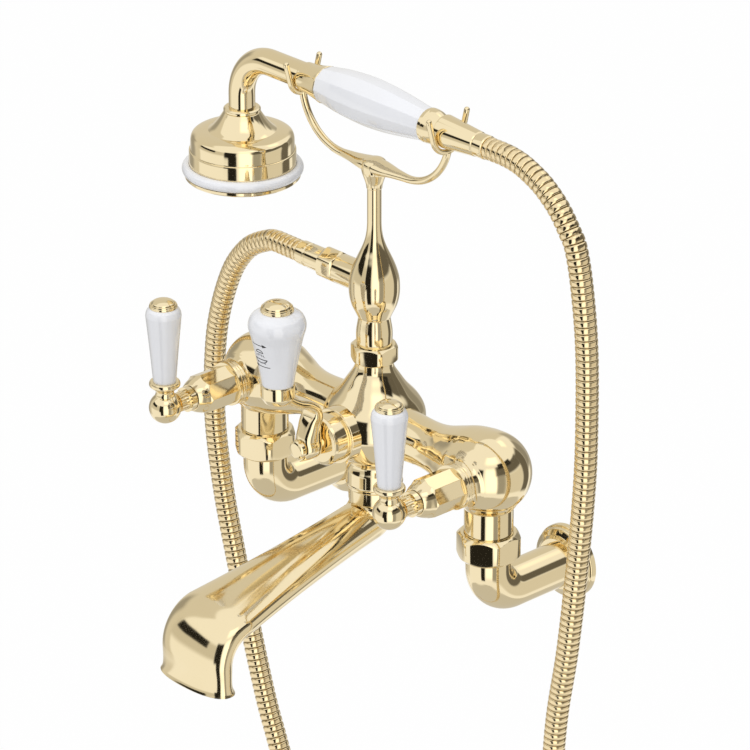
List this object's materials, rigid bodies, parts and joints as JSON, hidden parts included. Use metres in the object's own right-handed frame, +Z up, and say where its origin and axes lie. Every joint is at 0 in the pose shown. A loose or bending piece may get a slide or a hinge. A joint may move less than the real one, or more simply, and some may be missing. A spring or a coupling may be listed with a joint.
{
  "type": "bath shower mixer",
  "caption": "Wall-mounted bath and shower mixer in pale gold metal with porcelain levers, a diverter, a flat spout, a cradle on a pillar and a hand shower on a metal hose.",
  "frame": {"origin": "midway between the two wall inlets, on the wall face", "axes": "+X to the right facing the wall, +Y into the wall, +Z up"},
  "size_m": [0.308, 0.2026, 0.7324],
  "materials": {
    "gold": "polished pale gold",
    "porcelain": "gloss white glaze",
    "rubber": "moulded black",
    "fibre": "brown fibre",
    "disc": "lapped",
    "steel": "turned",
    "headwork": "turned raw brass"
  },
  "bodies": {
    "mixer": {"body_casting": "gold", "left_elbow": "gold", "right_elbow": "gold", "left_union_nut": "gold", "right_union_nut": "gold", "union_washers": "fibre", "left_flange": "gold", "right_flange": "gold", "flange_gaskets": "rubber", "left_headwork": "headwork", "right_headwork": "headwork", "seat_seals": "rubber", "fixed_discs": "disc", "left_bonnet": "gold", "right_bonnet": "gold", "diverter_bonnet": "gold", "diverter_seal": "rubber", "pillar": "gold", "pillar_nut": "gold", "pillar_washer": "fibre", "outlet_nut": "gold", "outlet_washer": "rubber", "lower_ferrule": "gold", "cradle": "gold", "cradle_screw": "steel", "hose": "gold"},
    "left_lever": {"left_spindle": "gold", "left_disc": "disc", "left_lever_base": "gold", "left_lever_grip": "porcelain", "left_lever_cap": "gold", "left_lever_stud": "steel"},
    "right_lever": {"right_spindle": "gold", "right_disc": "disc", "right_lever_base": "gold", "right_lever_grip": "porcelain", "right_lever_cap": "gold", "right_lever_stud": "steel"},
    "diverter": {"diverter_spindle": "gold", "diverter_crank": "gold", "diverter_screw": "gold", "diverter_grip": "porcelain", "diverter_cap": "gold", "diverter_stud": "steel"},
    "spout_arm": {"spout": "gold", "spout_seal": "rubber", "flow_straightener": "gold"},
    "handset": {"handset_neck": "gold", "head_bell": "gold", "head_seal": "rubber", "head_ring": "porcelain", "spray_plate": "gold", "handset_front_collar": "gold", "handset_tube": "headwork", "handset_grip": "porcelain", "handset_rear_collar": "gold", "hose_cone": "gold", "hose_washer": "rubber", "upper_ferrule": "gold"}
  },
  "joints": [
    {"name": "left_lever_turn", "type": "hinge", "parent": "mixer", "child": "left_lever", "pos_m": [-0.09, -0.12, 0.073], "axis": [0, -1, 0], "range_deg": [0, 90]},
    {"name": "right_lever_turn", "type": "hinge", "parent": "mixer", "child": "right_lever", "pos_m": [0.09, -0.12, 0.073], "axis": [0, 1, 0], "range_deg": [0, 90]},
    {"name": "diverter_turn", "type": "hinge", "parent": "mixer", "child": "diverter", "pos_m": [0, -0.1, 0.073], "axis": [0, 1, 0], "range_deg": [-45, 45]},
    {"name": "spout_swivel", "type": "hinge", "parent": "mixer", "child": "spout_arm", "pos_m": [0, -0.062, 0.036], "axis": [0, 0, 1], "range_deg": [-40, 40]},
    {"name": "handset_lift", "type": "slide", "parent": "mixer", "child": "handset", "axis": [0, 0, 1], "range_m": [0, 0.06], "deforming": ["hose"]}
  ]
}
